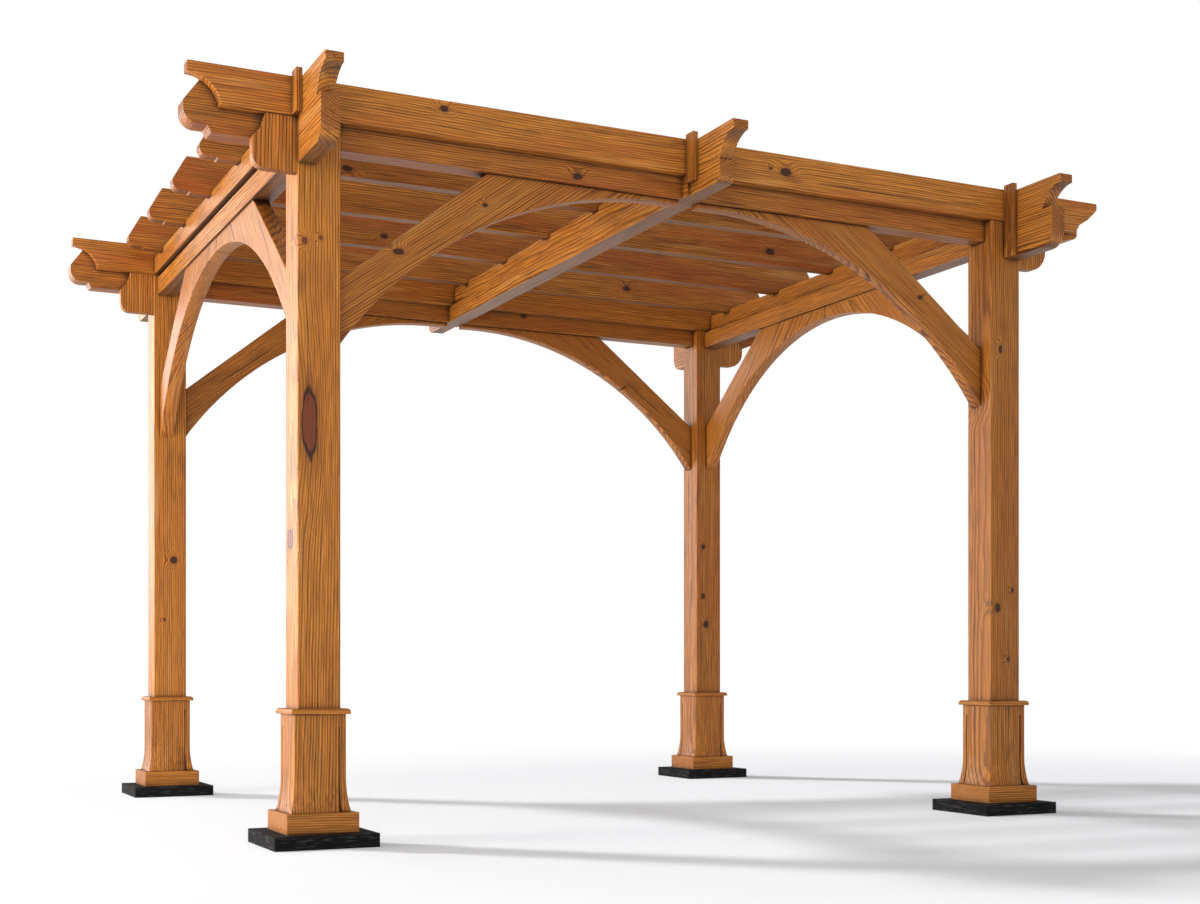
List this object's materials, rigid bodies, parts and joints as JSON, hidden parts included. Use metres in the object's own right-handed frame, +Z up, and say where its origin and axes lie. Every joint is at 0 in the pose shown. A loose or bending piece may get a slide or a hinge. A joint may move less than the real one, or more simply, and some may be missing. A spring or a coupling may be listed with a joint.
{
  "type": "garden pergola",
  "caption": "Free-standing timber pergola with square posts on dark pads, flared post skirts, arched knee braces and a lapped open roof frame with shaped beam ends.",
  "frame": {"origin": "on the ground midway between the four posts", "axes": "+X along the long side towards the right as seen from the front, +Y from front to back, +Z up"},
  "size_m": [3.632, 3.084, 2.509],
  "materials": {
    "pads": "matt, rough grained",
    "plinths": "satin, oiled, open grain",
    "skirts": "satin, oiled, open grain",
    "caps": "satin, oiled, open grain",
    "posts": "satin, oiled, open grain",
    "long_beams": "satin, oiled, open grain",
    "rafters": "satin, oiled, open grain",
    "cross_members": "satin, oiled, open grain",
    "corbels": "satin, oiled, open grain",
    "braces": "satin, oiled, open grain"
  },
  "bodies": {
    "root": {"pad_front_left": "pads", "pad_front_right": "pads", "pad_back_left": "pads", "pad_back_right": "pads", "plinth_front_left": "plinths", "plinth_front_right": "plinths", "plinth_back_left": "plinths", "plinth_back_right": "plinths", "skirt_front_left": "skirts", "skirt_front_right": "skirts", "skirt_back_left": "skirts", "skirt_back_right": "skirts", "cap_front_left": "caps", "cap_front_right": "caps", "cap_back_left": "caps", "cap_back_right": "caps", "post_front_left": "posts", "post_front_right": "posts", "post_back_left": "posts", "post_back_right": "posts", "main_beam_front": "long_beams", "main_beam_back": "long_beams", "facing_board_front": "long_beams", "facing_board_back": "long_beams", "rafter_1": "rafters", "rafter_2": "rafters", "rafter_3": "rafters", "rafter_4": "rafters", "rafter_5": "rafters", "cross_plate_left": "cross_members", "cross_plate_middle": "cross_members", "cross_plate_right": "cross_members", "cross_beam_left": "cross_members", "cross_beam_middle": "cross_members", "cross_beam_right": "cross_members", "corbels_front": "corbels", "corbels_back": "corbels", "braces_front": "braces", "braces_back": "braces", "brace_left_front": "braces", "brace_left_back": "braces", "brace_right_front": "braces", "brace_right_back": "braces", "collar_battens": "corbels"}
  },
  "joints": []
}
